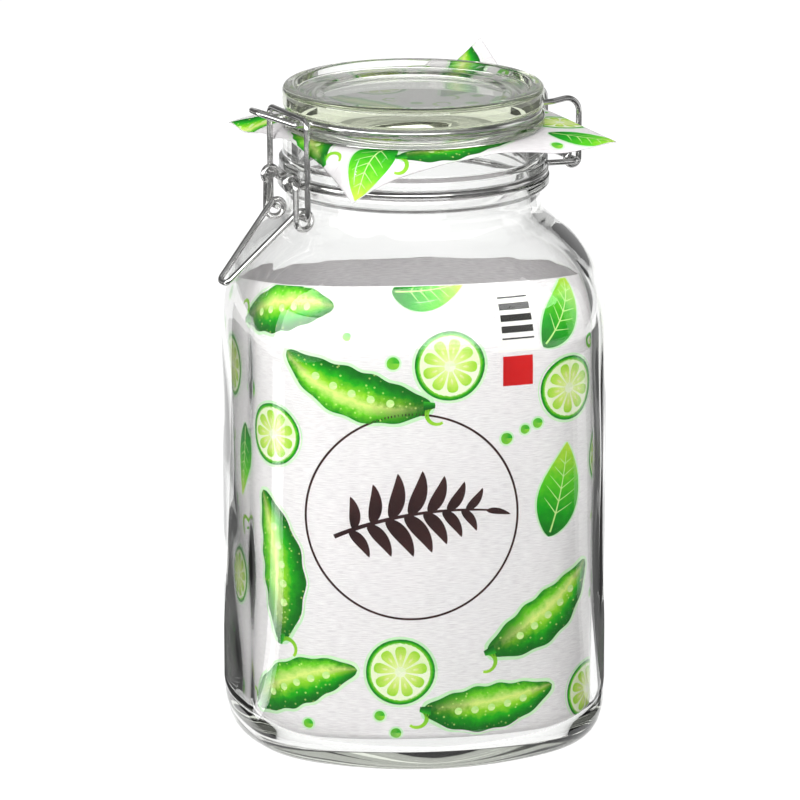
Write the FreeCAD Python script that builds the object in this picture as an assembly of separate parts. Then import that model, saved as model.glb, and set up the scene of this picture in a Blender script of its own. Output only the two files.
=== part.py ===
import FreeCAD, Part
import math
import os
from FreeCAD import Vector as V

os.makedirs("parts", exist_ok=True)

# ---------------------------------------------------------------- dimensions
# Clip-top jar of about three litres. Origin on the jar's axis where it stands,
# +Z up. The clip is on the -X side and the hinge on the +X side.

TOTAL_H = 245.0            # floor to the top of the lid's rim
BODY_TURN = -20.0          # the square body is turned this much from the wire frame

# jar body, a square with bulging sides and round corners
BODY_A = 71.5              # axis to the middle of a side
BODY_D = 79.8              # axis to the round of a corner
BODY_RC = 38.0             # corner radius in plan
WALL = 4.0
BASE_T = 7.0
HEEL_IN_A = 5.5            # how far the heel turns in at the middle of a side
HEEL_IN_D = 13.0           # and at a corner, so the foot is nearly round
HEEL_H = 15.0              # how high the heel's round reaches

# neck
NECK_R = 47.3
MOUTH_R = 43.0
RIM_R = 48.5
RIM_TOP = 229.1
BEAD_R = 50.6
HIGH_BEAD_R = 50.0
LOW_BEAD = (207.4, 211.9)
GROOVE = (211.9, 214.5)
HIGH_BEAD = (214.5, 218.0)
GROOVE_R = 47.9

# lid
LID_BOT = 229.9
FLANGE_R = 48.9
FLANGE_TOP = 234.3
LID_GROOVE_R = 45.4
LID_GROOVE_TOP = 236.9
DISC_R = 48.5

# wire
WIRE = 2.2
WR = WIRE / 2.0
NECK_WIRE_Z = 213.2
NECK_WIRE_R = 49.15
LID_WIRE_Z = 235.6
LID_WIRE_R = 46.65

# clip
EYE_P = (-54.5, 214.3)     # pivot of the lever in the neck wire's eyelets (x, z)
EYE_P_Y = 9.1
EYE_P_R = 2.75             # centre line radius of the eyelets
EYE_Q = (-51.2, 200.6)     # centre of the lever's own eyes
EYE_Q_Y = 11.9
EYE_Q_R = 3.35
PIN_UP = 0.85              # the link's hooks hang this much above the eye centres
LEVER_TIP = (-78.3, 177.9)
LEVER_TIP_R = 2.6
LINK_Y = 15.7
LINK_TOP_Z = 238.3
LINK_X = -51.5
TONGUE_TIP = (-65.0, 240.3)
TONGUE_TIP_R = 3.4

# hinge
HINGE = (60.0, 213.2)      # pin line, along Y
HINGE_HALF = 19.0
HINGE_EYE_Y = 13.2
HINGE_EYE_R = 2.65

# cover paper laid over the mouth
COVER_HALF = 54.3
COVER_CX = 2.9
COVER_CY = 0.4
COVER_TURN = -2.1         # degrees about +Z
COVER_T = 0.4
COVER_Z = 229.16
COVER_FREE_R = 47.6        # outside this radius the sheet is free to bend
COVER_BEND_L = 16.0        # it bends over this length, then runs on straight

# paper sleeve inside the body
SLEEVE_T = 0.5
SLEEVE_GAP = 0.7
SLEEVE_BOT = 12.2
SLEEVE_MID_TOP = 172.2     # height of its sloping top edge at the jar's axis
SLEEVE_SLOPE = 9.0         # degrees, high side at the front face


# ---------------------------------------------------------------- helpers
def square_radius(phi, a, d, rc):
    """Radius of the section at an angle from a side's normal: a bulging side or a round corner."""
    phi = abs((phi + math.pi / 4) % (math.pi / 2) - math.pi / 4)
    k = (d - rc) / math.sqrt(2.0)
    s = (2.0 * k * k - (a - rc) ** 2) / (2.0 * (a - rc) - 2.0 * k)
    rs = a + s
    th = math.atan2(k, k + s)
    c, n = math.cos(phi), math.sin(phi)
    if phi <= math.atan2(rs * math.sin(th), -s + rs * math.cos(th)):
        return -s * c + math.sqrt(s * s * c * c - s * s + rs * rs)
    b = k * (c + n)
    return b + math.sqrt(b * b - 2.0 * k * k + rc * rc)


def square_wire(z, a, d, rc, n=64):
    """One smooth closed curve for the body's section at height z."""
    pts = []
    for i in range(n):
        phi = 2.0 * math.pi * i / n
        r = square_radius(phi, a, d, rc)
        t = phi + math.radians(BODY_TURN)
        pts.append(V(r * math.cos(t), r * math.sin(t), z))
    curve = Part.BSplineCurve()
    curve.interpolate(Points=pts, PeriodicFlag=True)
    return Part.Wire([curve.toShape()])


def skin(sections):
    return Part.makeLoft([square_wire(*s) for s in sections], True, False)


def round_profile(points):
    """Closed (r, z) outline; a third value rounds that corner with that radius."""
    n = len(points)
    edges = []
    ends = []
    for i in range(n):
        p = V(points[i][0], 0, points[i][1])
        rad = points[i][2] if len(points[i]) > 2 else 0.0
        a = V(points[i - 1][0], 0, points[i - 1][1])
        b = V(points[(i + 1) % n][0], 0, points[(i + 1) % n][1])
        if rad <= 0.0:
            ends.append((p, None, p))
            continue
        da = (a - p).normalize()
        db = (b - p).normalize()
        half = math.acos(max(-1.0, min(1.0, da.dot(db)))) / 2.0
        t = rad / math.tan(half)
        bis = (da + db).normalize()
        mid = p + bis * (rad / math.sin(half) - rad)
        ends.append((p + da * t, mid, p + db * t))
    for i in range(n):
        s, m, e = ends[i]
        if m is not None:
            edges.append(Part.Arc(s, m, e).toShape())
        nx = ends[(i + 1) % n][0]
        if (nx - e).Length > 1e-6:
            edges.append(Part.LineSegment(e, nx).toShape())
    face = Part.Face(Part.Wire(edges))
    return face.revolve(V(0, 0, 0), V(0, 0, 1), 360)


def bent(points):
    """Edges of a rod path. Each inner point is (x, y, z, bend radius)."""
    n = len(points)
    out = []
    last = V(*points[0][:3])
    for i in range(1, n - 1):
        p = V(*points[i][:3])
        rad = points[i][3]
        a = V(*points[i - 1][:3])
        b = V(*points[i + 1][:3])
        da = (a - p).normalize()
        db = (b - p).normalize()
        half = math.acos(max(-1.0, min(1.0, da.dot(db)))) / 2.0
        t = rad / math.tan(half)
        room = min((a - p).Length, (b - p).Length)
        bis = (da + db).normalize()
        mid = p + bis * (rad / math.sin(half) - rad)
        if t > room:
            print("bend too large at", p, "needs", t, "has", room)
        s = p + da * t
        e = p + db * t
        if (s - last).Length > 1e-4:
            out.append(Part.LineSegment(last, s).toShape())
        out.append(Part.Arc(s, mid, e).toShape())
        last = e
    end = V(*points[-1][:3])
    if (end - last).Length > 1e-4:
        out.append(Part.LineSegment(last, end).toShape())
    return out


def hoop_arc(radius, z, a0, a1):
    """Arc about the Z axis from angle a0 to a1, degrees, the way of the sign."""
    def p(a):
        return V(radius * math.cos(math.radians(a)), radius * math.sin(math.radians(a)), z)
    return Part.Arc(p(a0), p(0.5 * (a0 + a1)), p(a1)).toShape()


def hoop_out(radius, z, ang, sense, run):
    """Point reached by leaving the hoop at ang along its tangent."""
    a = math.radians(ang)
    return (radius * math.cos(a) - sense * run * math.sin(a),
            radius * math.sin(a) + sense * run * math.cos(a), z)


def rod(edges, r=WR):
    wire = Part.Wire(edges)
    first = edges[0]
    start = first.valueAt(first.FirstParameter)
    tan = first.tangentAt(first.FirstParameter)
    circle = Part.Wire([Part.Circle(start, tan, r).toShape()])
    return wire.makePipeShell([circle], True, False)


def coil(cx, cz, radius, a0, sweep, y0, y1, steps=8):
    """Corners of a round loop in the XZ plane, met tangentially at angle a0.

    The loop turns by sweep degrees while it drifts from y0 to y1. Every corner
    takes a bend of nearly the loop's radius, so the rod runs round smoothly."""
    n = max(2, int(round(abs(sweep) / 360.0 * steps)))
    st = math.radians(sweep / n)
    far = radius / math.cos(st / 2.0)
    out = []
    for j in range(n):
        a = math.radians(a0) + st * (j + 0.5)
        y = y0 + (y1 - y0) * (j + 0.5) / n
        out.append((cx + far * math.cos(a), y, cz + far * math.sin(a), radius * 0.96))
    return out


def coil_end(cx, cz, radius, a0, sweep, y):
    a = math.radians(a0 + sweep)
    return (cx + radius * math.cos(a), y, cz + radius * math.sin(a))


def one(shape):
    if hasattr(shape, "removeSplitter"):
        shape = shape.removeSplitter()
    solids = shape.Solids
    return solids[0] if len(solids) == 1 else shape


NODES = {}


# ---------------------------------------------------------------- jar glass
SHOULDER = [(150.0, 71.5), (157.0, 71.4), (163.0, 71.0), (169.0, 70.0), (174.0, 68.6),
            (178.5, 66.7), (182.5, 64.0), (186.0, 60.9), (189.0, 57.7), (191.5, 54.7),
            (193.8, 51.9), (196.2, 49.5), (199.0, 47.9), (202.5, 47.35), (207.0, 47.3)]
INNER = [(150.0, 67.5), (155.4, 67.4), (161.4, 67.0), (167.4, 66.0), (172.4, 64.6),
         (176.9, 62.7), (180.9, 60.0), (184.4, 56.9), (187.4, 53.7), (189.9, 50.7),
         (192.2, 47.9), (194.6, 45.6), (197.4, 44.15), (200.6, 43.4), (206.0, 42.4)]


def outer_sections():
    out = []
    for z in (0.0, 0.5, 1.8, 4.0, 7.0, 10.6, 15.0):
        t = 1.0 - math.sqrt(max(0.0, 1.0 - ((HEEL_H - z) / HEEL_H) ** 2))
        out.append((z, BODY_A - HEEL_IN_A * t, BODY_D - HEEL_IN_D * t, BODY_RC))
    for z in (24.0, 45.0, 80.0, 115.0, 138.0):
        out.append((z, BODY_A, BODY_D, BODY_RC))
    for z, a in SHOULDER:
        w = max(0.0, (a - NECK_R) / (BODY_A - NECK_R))
        out.append((z, a, a + (BODY_D - BODY_A) * w + 1e-3, BODY_RC))
    return out


def inner_sections(gap=0.0, bottom=BASE_T, heel_h=11.0, heel_in_a=5.0, heel_in_d=10.0):
    a0, d0, r0 = BODY_A - WALL - gap, BODY_D - WALL - gap, BODY_RC - WALL - gap
    out = []
    for f in (0.0, 0.035, 0.12, 0.27, 0.48, 0.72, 1.0):
        z = bottom + heel_h * f
        t = 1.0 - math.sqrt(max(0.0, 1.0 - (1.0 - f) ** 2))
        out.append((z, a0 - heel_in_a * t, d0 - heel_in_d * t, r0))
    for z in (26.0, 45.0, 80.0, 115.0, 138.0):
        out.append((z, a0, d0, r0))
    for z, a in INNER:
        w = (a - MOUTH_R) / (BODY_A - WALL - MOUTH_R)
        w = max(0.0, w)
        a -= gap
        out.append((z, a, a + (BODY_D - BODY_A) * w + 1e-3, r0))
    return out


def make_jar():
    outer = skin(outer_sections())
    neck = round_profile([
        (0.0, LOW_BEAD[0] - 2.7), (NECK_R - 2.75, LOW_BEAD[0] - 2.7),
        (BEAD_R, LOW_BEAD[0] + 0.6, 1.4), (BEAD_R, LOW_BEAD[1], 0.9),
        (GROOVE_R, GROOVE[0], 0.5), (GROOVE_R, GROOVE[1], 0.5),
        (HIGH_BEAD_R, HIGH_BEAD[0], 0.9), (HIGH_BEAD_R, HIGH_BEAD[1], 1.2),
        (RIM_R, HIGH_BEAD[1] + 1.6, 1.0), (RIM_R, RIM_TOP, 1.4), (0.0, RIM_TOP)])
    inner = skin(inner_sections())
    bore = round_profile([(0.0, 200.5), (MOUTH_R, 200.5), (MOUTH_R, RIM_TOP - 1.2, 1.0),
                          (MOUTH_R + 1.4, RIM_TOP + 1.0), (0.0, RIM_TOP + 1.0)])
    return one(outer.fuse(neck).cut(inner.fuse(bore)))


NODES["jar_glass"] = make_jar()


# ---------------------------------------------------------------- lid glass
def make_lid():
    top = TOTAL_H
    return one(round_profile([
        (0.0, top - 3.4), (33.6, top - 3.4, 0.6), (34.4, top - 2.6, 0.6), (42.6, top - 2.6, 1.2),
        (44.2, top, 1.3), (DISC_R, top, 2.6), (DISC_R, LID_GROOVE_TOP, 1.5),
        (LID_GROOVE_R, LID_GROOVE_TOP, 0.4), (LID_GROOVE_R, FLANGE_TOP, 0.4),
        (FLANGE_R, FLANGE_TOP, 1.2), (FLANGE_R, LID_BOT, 1.4), (40.6, LID_BOT, 1.0),
        (37.6, LID_BOT + 6.6, 3.0), (0.0, LID_BOT + 6.6)]))


NODES["lid_glass"] = make_lid()


# ---------------------------------------------------------------- neck wire
def mirrored(points):
    """The same path on the other side of the XZ plane, walked backwards."""
    return [(p[0], -p[1]) + tuple(p[2:]) for p in reversed(points)]


def hoop_point(radius, z, ang):
    return (radius * math.cos(math.radians(ang)), radius * math.sin(math.radians(ang)), z)


def make_neck_wire():
    z = NECK_WIRE_Z
    px, pz = EYE_P
    y = EYE_P_Y
    a_front, a_back = 165.5, 24.0
    # from the tip of the eyelet round its pin and into the groove
    eye = coil(px, pz, EYE_P_R, 0.0, 245.0, y, y)
    start = hoop_out(NECK_WIRE_R, z, a_front, 1, 2.3)
    lead = [coil_end(px, pz, EYE_P_R, 0.0, 245.0, y)] + list(reversed(eye))
    lead += [(px + EYE_P_R, y, z - 0.7, 1.3), (start[0], start[1], z, 1.6),
             hoop_point(NECK_WIRE_R, z, a_front)]
    out = hoop_out(NECK_WIRE_R, z, a_back, -1, 4.2)
    tail = [hoop_point(NECK_WIRE_R, z, a_back), (out[0], out[1], z, 2.6),
            (HINGE[0], HINGE_HALF, HINGE[1], 2.6)]
    edges = bent(lead)
    edges.append(hoop_arc(NECK_WIRE_R, z, a_front, a_back))
    edges += bent(tail + mirrored(tail))
    edges.append(hoop_arc(NECK_WIRE_R, z, 360.0 - a_back, 360.0 - a_front))
    edges += bent(mirrored(lead))
    return one(rod(edges))


NODES["neck_wire"] = make_neck_wire()


# ---------------------------------------------------------------- lid wire
def make_lid_wire():
    z = LID_WIRE_Z
    hx, hz = HINGE
    y = HINGE_EYE_Y
    tx, tz = TONGUE_TIP
    a_front, a_back = 165.5, 21.0
    start = hoop_out(LID_WIRE_R, z, a_front, 1, 2.4)
    # tongue: out of the groove, level under the link, then rising to a round tip
    tongue = [hoop_point(LID_WIRE_R, z, a_front), (start[0], start[1], z, 1.7),
              (-53.0, 8.4, z, 4.0), (tx, TONGUE_TIP_R + 0.6, tz, TONGUE_TIP_R)]
    out = hoop_out(LID_WIRE_R, z, a_back, -1, 3.4)
    arm = [hoop_point(LID_WIRE_R, z, a_back), (out[0], out[1], z, 2.0),
           (51.5, y, z, 2.2), (hx + HINGE_EYE_R, y, z + 1.4, 5.5)]
    arm += coil(hx, hz, HINGE_EYE_R, 0.0, -250.0, y, y)
    arm.append(coil_end(hx, hz, HINGE_EYE_R, 0.0, -250.0, y))
    edges = bent(list(reversed(arm)))
    edges.append(hoop_arc(LID_WIRE_R, z, a_back, a_front))
    edges += bent(tongue + mirrored(tongue))
    edges.append(hoop_arc(LID_WIRE_R, z, 360.0 - a_front, 360.0 - a_back))
    edges += bent([(p[0], -p[1]) + tuple(p[2:]) for p in arm])
    return one(rod(edges))


NODES["lid_wire"] = make_lid_wire()


# ---------------------------------------------------------------- latch lever
def tangent_leave(cx, cz, radius, tx, tz, side):
    """Angle on a ring, degrees, where the line to (tx, tz) leaves it tangentially."""
    dx, dz = tx - cx, tz - cz
    d = math.hypot(dx, dz)
    return math.degrees(math.atan2(dz, dx) + side * math.acos(radius / d))


def make_lever():
    px, pz = EYE_P
    qx, qz = EYE_Q
    tx, tz = LEVER_TIP
    y = EYE_Q_Y
    a_in = tangent_leave(qx, qz, EYE_Q_R, px, pz, 1.0) % 360.0
    a_out = tangent_leave(qx, qz, EYE_Q_R, tx, tz, -1.0) % 360.0
    sweep = (a_out - a_in) % 360.0
    half = WR + 0.1
    side = [(px, EYE_P_Y - 2.2, pz), (px, EYE_P_Y + 3.4, pz, 1.7)]
    side += coil(qx, qz, EYE_Q_R, a_in, sweep, y + half, y - half)
    side += [(tx, LEVER_TIP_R + 0.5, tz, LEVER_TIP_R)]
    return one(rod(bent(side + mirrored(side))))


NODES["latch_lever"] = make_lever()


# ---------------------------------------------------------------- latch link
def make_link():
    qx, qz = EYE_Q[0], EYE_Q[1] + PIN_UP
    path = [(qx, -EYE_Q_Y + 2.3, qz),
            (qx, -LINK_Y, qz, 1.5),
            (LINK_X, -LINK_Y, LINK_TOP_Z, 3.0),
            (LINK_X, LINK_Y, LINK_TOP_Z, 3.0),
            (qx, LINK_Y, qz, 1.5),
            (qx, EYE_Q_Y - 2.3, qz)]
    return one(rod(bent(path)))


NODES["latch_link"] = make_link()


# ---------------------------------------------------------------- cover paper
# Bend of the free margin against the angle round the jar: curvature per mm,
# positive bends down, negative curls up.
COVER_BEND = [(0.0, 0.012), (20.0, -0.010), (31.0, -0.028), (37.0, -0.047), (42.0, -0.059),
              (47.0, -0.053), (55.0, -0.030), (70.0, -0.014), (90.0, 0.020), (115.0, 0.018), (125.0, 0.016),
              (131.5, 0.017), (138.0, 0.036), (146.0, 0.060), (156.0, 0.100), (160.5, 0.240), (166.0, 0.240),
              (180.0, 0.130), (194.0, 0.240), (199.5, 0.240), (205.0, 0.160), (212.0, 0.115),
              (218.0, 0.074), (224.0, 0.058), (231.0, 0.062), (240.0, 0.085), (250.0, 0.125),
              (262.0, 0.140), (270.0, 0.090), (277.0, 0.050), (286.0, 0.040), (298.0, 0.031),
              (308.0, 0.012), (314.5, 0.004), (325.0, 0.006), (340.0, 0.010), (360.0, 0.012)]


def bend_at(deg):
    """Smooth periodic interpolation of COVER_BEND, one-sided cubic pieces."""
    n = len(COVER_BEND) - 1
    deg = deg % 360.0
    for i in range(n):
        if deg <= COVER_BEND[i + 1][0]:
            break
    x0, y0 = COVER_BEND[i]
    x1, y1 = COVER_BEND[i + 1]

    def slope(j):
        ja, jb = (j - 1) % n, (j + 1) % n
        xa, ya = COVER_BEND[ja]
        xb, yb = COVER_BEND[jb] if j + 1 <= n else COVER_BEND[1]
        xj, yj = COVER_BEND[j % n]
        if xa >= xj:
            xa -= 360.0
        if xb <= xj:
            xb += 360.0
        m0, m1 = (yj - ya) / (xj - xa), (yb - yj) / (xb - xj)
        return 0.0 if m0 * m1 <= 0.0 else 2.0 * m0 * m1 / (m0 + m1)

    h = x1 - x0
    t = (deg - x0) / h
    m0, m1 = slope(i), slope((i + 1) % n)
    return ((2 * t ** 3 - 3 * t ** 2 + 1) * y0 + (t ** 3 - 2 * t ** 2 + t) * h * m0
            + (-2 * t ** 3 + 3 * t ** 2) * y1 + (t ** 3 - t ** 2) * h * m1)


def cover_point(p, q):
    """Place of the flat sheet's point (p, q) once its margin is bent."""
    ct, st = math.cos(math.radians(COVER_TURN)), math.sin(math.radians(COVER_TURN))
    x, y = p * ct - q * st + COVER_CX, p * st + q * ct + COVER_CY
    r = math.hypot(x, y)
    free = r - COVER_FREE_R
    if free <= 0.0:
        return V(x, y, COVER_Z)
    k = bend_at(math.degrees(math.atan2(y, x)))
    if abs(k) < 1e-6:
        k = 1e-6
    arc = min(free, COVER_BEND_L)
    rest = free - arc
    out = COVER_FREE_R + math.sin(k * arc) / k + math.cos(k * arc) * rest
    z = COVER_Z - (1.0 - math.cos(k * arc)) / k - math.sin(k * arc) * rest
    return V(out * x / r, out * y / r, z)


def make_cover(n=49):
    h = COVER_HALF
    at = [-h + 2.0 * h * i / (n - 1) for i in range(n)]
    low = [[cover_point(p, q) for q in at] for p in at]
    high = []
    e = 0.05
    for p in at:
        row = []
        for q in at:
            du = cover_point(p + e, q) - cover_point(p - e, q)
            dv = cover_point(p, q + e) - cover_point(p, q - e)
            nrm = du.cross(dv)
            nrm.normalize()
            row.append(cover_point(p, q) + nrm * COVER_T)
        high.append(row)
    faces = []
    surf = []
    for grid in (low, high):
        s = Part.BSplineSurface()
        s.interpolate(grid)
        surf.append(s)
        faces.append(s.toShape())
    lo, hi = surf
    for pick in ((0, "u"), (1, "u"), (0, "v"), (1, "v")):
        def iso(s):
            u0, u1, v0, v1 = s.bounds()
            if pick[1] == "u":
                return s.uIso(u1 if pick[0] else u0).toShape()
            return s.vIso(v1 if pick[0] else v0).toShape()
        faces.append(Part.makeRuledSurface(iso(lo), iso(hi)))
    shell = Part.makeShell(faces)
    shell.sewShape()
    solid = Part.Solid(Part.Shell(shell.Faces))
    if solid.Volume < 0:
        solid.reverse()
    return solid


NODES["cover_paper"] = make_cover()


# ---------------------------------------------------------------- paper sleeve
def make_sleeve():
    outside = skin(inner_sections(gap=SLEEVE_GAP))
    inside = skin(inner_sections(gap=SLEEVE_GAP + SLEEVE_T))
    band = Part.makeBox(300, 300, 182.0, V(-150, -150, SLEEVE_BOT))
    # sloping top: the plane is high towards the front face (-Y turned by BODY_TURN)
    cutter = Part.makeBox(400, 400, 200, V(-200, -200, 0))
    cutter.rotate(V(0, 0, 0), V(1, 0, 0), -SLEEVE_SLOPE)
    cutter.rotate(V(0, 0, 0), V(0, 0, 1), BODY_TURN)
    cutter.translate(V(0, 0, SLEEVE_MID_TOP))
    return one(outside.common(band).cut(cutter).cut(inside))


NODES["paper_sleeve"] = make_sleeve()


# ---------------------------------------------------------------- write
for name, shape in NODES.items():
    shape.exportStep("parts/%s.step" % name)
    bb = shape.BoundBox
    print("%-14s %-9s valid=%s solids=%d faces=%d vol=%.1f cm3  x %.1f %.1f  y %.1f %.1f  z %.1f %.1f" % (
        name, shape.ShapeType, shape.isValid(), len(shape.Solids), len(shape.Faces), shape.Volume / 1000.0,
        bb.XMin, bb.XMax, bb.YMin, bb.YMax, bb.ZMin, bb.ZMax))
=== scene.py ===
import math
import random

import bpy
import numpy as np
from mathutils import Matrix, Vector


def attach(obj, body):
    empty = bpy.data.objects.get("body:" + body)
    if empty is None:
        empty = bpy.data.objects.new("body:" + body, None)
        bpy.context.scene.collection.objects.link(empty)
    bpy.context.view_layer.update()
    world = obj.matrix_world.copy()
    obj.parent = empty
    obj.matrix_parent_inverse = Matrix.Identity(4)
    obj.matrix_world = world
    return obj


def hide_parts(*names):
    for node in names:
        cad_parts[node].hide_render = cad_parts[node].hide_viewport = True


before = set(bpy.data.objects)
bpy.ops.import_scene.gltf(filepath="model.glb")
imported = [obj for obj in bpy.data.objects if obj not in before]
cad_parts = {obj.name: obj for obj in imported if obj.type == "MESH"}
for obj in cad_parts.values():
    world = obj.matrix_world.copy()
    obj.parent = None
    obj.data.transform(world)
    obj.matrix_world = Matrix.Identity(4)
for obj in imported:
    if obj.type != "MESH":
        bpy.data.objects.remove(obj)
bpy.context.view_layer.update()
MM = 0.001

# ------------------------------------------------------------------ the jar's numbers, in mm
TOTAL_H = 245.0
BODY_A, BODY_D, BODY_RC = 71.5, 79.8, 38.0
WALL, BASE_T = 4.0, 7.0
HEEL_IN_A, HEEL_IN_D, HEEL_H = 5.5, 13.0, 15.0
NECK_R, MOUTH_R, RIM_R, RIM_TOP = 47.3, 43.0, 48.5, 229.1
BEAD_R, HIGH_BEAD_R, GROOVE_R = 50.6, 50.0, 47.9
FRONT = math.radians(-110.0)      # heading of the front face's normal
SHOULDER = [(150.0, 71.5), (157.0, 71.4), (163.0, 71.0), (169.0, 70.0), (174.0, 68.6),
            (178.5, 66.7), (182.5, 64.0), (186.0, 60.9), (189.0, 57.7), (191.5, 54.7),
            (193.8, 51.9), (196.2, 49.5), (199.0, 47.9), (202.5, 47.35), (205.6, 47.3)]
INNER = [(150.0, 67.5), (155.4, 67.4), (161.4, 67.0), (167.4, 66.0), (172.4, 64.6),
         (176.9, 62.7), (180.9, 60.0), (184.4, 56.9), (187.4, 53.7), (189.9, 50.7),
         (192.2, 47.9), (194.6, 45.6), (197.4, 44.05), (200.6, 43.35), (204.2, 43.05)]
SLEEVE_GAP, SLEEVE_BOT, SLEEVE_MID_TOP, SLEEVE_SLOPE = 0.7, 12.2, 172.2, 9.0
COVER_HALF, COVER_CX, COVER_CY, COVER_Z, COVER_FREE_R = 54.3, 2.9, 0.4, 229.16, 47.6
COVER_TURN, COVER_BEND_L = math.radians(-2.1), 16.0
COVER_BEND = [(0.0, 0.012), (20.0, -0.010), (31.0, -0.028), (37.0, -0.047), (42.0, -0.059),
              (47.0, -0.053), (55.0, -0.030), (70.0, -0.014), (90.0, 0.020), (115.0, 0.018), (125.0, 0.016),
              (131.5, 0.017), (138.0, 0.036), (146.0, 0.060), (156.0, 0.100), (160.5, 0.240), (166.0, 0.240),
              (180.0, 0.130), (194.0, 0.240), (199.5, 0.240), (205.0, 0.160), (212.0, 0.115),
              (218.0, 0.074), (224.0, 0.058), (231.0, 0.062), (240.0, 0.085), (250.0, 0.125),
              (262.0, 0.140), (270.0, 0.090), (277.0, 0.050), (286.0, 0.040), (298.0, 0.031),
              (308.0, 0.012), (314.5, 0.004), (325.0, 0.006), (340.0, 0.010), (360.0, 0.012)]


# ------------------------------------------------------------------ curves and sections
def smooth(points, per=6):
    """Catmull-Rom through the points, spaced by chord, with per steps to a span."""
    p = np.array(points, float)
    ext = np.vstack([2 * p[0] - p[1], p, 2 * p[-1] - p[-2]])
    out = []
    for i in range(1, len(ext) - 2):
        p0, p1, p2, p3 = ext[i - 1:i + 3]
        t0 = 0.0
        t1 = t0 + math.sqrt(np.linalg.norm(p1 - p0))
        t2 = t1 + math.sqrt(np.linalg.norm(p2 - p1))
        t3 = t2 + math.sqrt(np.linalg.norm(p3 - p2))
        for j in range(per):
            t = t1 + (t2 - t1) * j / per
            a1 = (t1 - t) / (t1 - t0) * p0 + (t - t0) / (t1 - t0) * p1
            a2 = (t2 - t) / (t2 - t1) * p1 + (t - t1) / (t2 - t1) * p2
            a3 = (t3 - t) / (t3 - t2) * p2 + (t - t2) / (t3 - t2) * p3
            b1 = (t2 - t) / (t2 - t0) * a1 + (t - t0) / (t2 - t0) * a2
            b2 = (t3 - t) / (t3 - t1) * a2 + (t - t1) / (t3 - t1) * a3
            out.append((t2 - t) / (t2 - t1) * b1 + (t - t1) / (t2 - t1) * b2)
    out.append(p[-1])
    return np.array(out)


def square_radius(phi, a, d, rc):
    """Section radius at an angle from a side's normal; a bulging side or a round corner."""
    phi = np.abs((phi + math.pi / 4) % (math.pi / 2) - math.pi / 4)
    k = (d - rc) / math.sqrt(2.0)
    s = (2.0 * k * k - (a - rc) ** 2) / (2.0 * (a - rc) - 2.0 * k)
    rs = a + s
    th = math.atan2(k, k + s)
    lim = math.atan2(rs * math.sin(th), -s + rs * math.cos(th))
    c, n = np.cos(phi), np.sin(phi)
    side = -s * c + np.sqrt(s * s * c * c - s * s + rs * rs)
    b = k * (c + n)
    corner = b + np.sqrt(np.maximum(b * b - 2.0 * k * k + rc * rc, 0.0))
    return np.where(phi <= lim, side, corner)


def fillet(points, n=7):
    """(r, z) polyline of a closed outline's corners; a third value rounds that corner."""
    out = []
    m = len(points)
    for i in range(m):
        p = np.array(points[i][:2], float)
        rad = points[i][2] if len(points[i]) > 2 else 0.0
        if rad <= 0.0 or i in (0, m - 1):
            out.append(tuple(p))
            continue
        a = np.array(points[i - 1][:2], float)
        b = np.array(points[i + 1][:2], float)
        da = (a - p) / np.linalg.norm(a - p)
        db = (b - p) / np.linalg.norm(b - p)
        half = math.acos(max(-1.0, min(1.0, float(da @ db)))) / 2.0
        t = rad / math.tan(half)
        t = min(t, 0.499 * np.linalg.norm(a - p) if len(points[i - 1]) > 2 else 0.95 * np.linalg.norm(a - p),
                0.499 * np.linalg.norm(b - p) if len(points[(i + 1) % m]) > 2 else 0.95 * np.linalg.norm(b - p))
        r2 = t * math.tan(half)
        bis = (da + db) / np.linalg.norm(da + db)
        c = p + bis * r2 / math.sin(half)
        s, e = p + da * t, p + db * t
        a0 = math.atan2(*(s - c)[::-1])
        a1 = math.atan2(*(e - c)[::-1])
        da_ = (a1 - a0 + math.pi) % (2 * math.pi) - math.pi
        for j in range(n + 1):
            a_ = a0 + da_ * j / n
            out.append((c[0] + r2 * math.cos(a_), c[1] + r2 * math.sin(a_)))
    clean = [out[0]]
    for q in out[1:]:
        if math.hypot(q[0] - clean[-1][0], q[1] - clean[-1][1]) > 1e-4:
            clean.append(q)
    return clean


def refine(points, step):
    """Adds points along straight spans so that shading stays even."""
    out = [points[0]]
    for a, b in zip(points, points[1:]):
        d = math.hypot(b[0] - a[0], b[1] - a[1])
        n = max(1, int(d / step))
        for j in range(1, n + 1):
            f = j / n
            out.append((a[0] + (b[0] - a[0]) * f, a[1] + (b[1] - a[1]) * f))
    return out


def new_object(name, verts, faces, mat, mats=None, face_mats=None, smooth_it=True):
    me = bpy.data.meshes.new(name)
    me.from_pydata([tuple(v) for v in verts], [], [tuple(int(i) for i in f) for f in faces])
    me.validate()
    me.update()
    for m in (mats or [mat]):
        me.materials.append(m)
    if smooth_it:
        me.polygons.foreach_set("use_smooth", np.ones(len(me.polygons), bool))
    ob = bpy.data.objects.new(name, me)
    bpy.context.scene.collection.objects.link(ob)
    return ob


def lathe_rings(rings, n, name, mat):
    """A closed skin from a list of rings. A ring is (z, radii); a radius of None is a pole."""
    verts, starts = [], []
    ang = FRONT + np.arange(n) * 2 * math.pi / n
    ca, sa = np.cos(ang), np.sin(ang)
    for z, r in rings:
        starts.append(len(verts))
        if r is None:
            verts.append((0.0, 0.0, z * MM))
        else:
            r = np.broadcast_to(r, (n,))
            zz = np.broadcast_to(z, (n,))
            verts.extend(zip(r * ca * MM, r * sa * MM, zz * MM))
    faces = []
    for i in range(len(rings) - 1):
        a, b = starts[i], starts[i + 1]
        pa, pb = rings[i][1] is None, rings[i + 1][1] is None
        for j in range(n):
            k = (j + 1) % n
            if pa:
                faces.append((a, b + k, b + j))
            elif pb:
                faces.append((a + j, a + k, b))
            else:
                faces.append((a + j, a + k, b + k, b + j))
    return new_object(name, verts, faces, mat)


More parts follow.
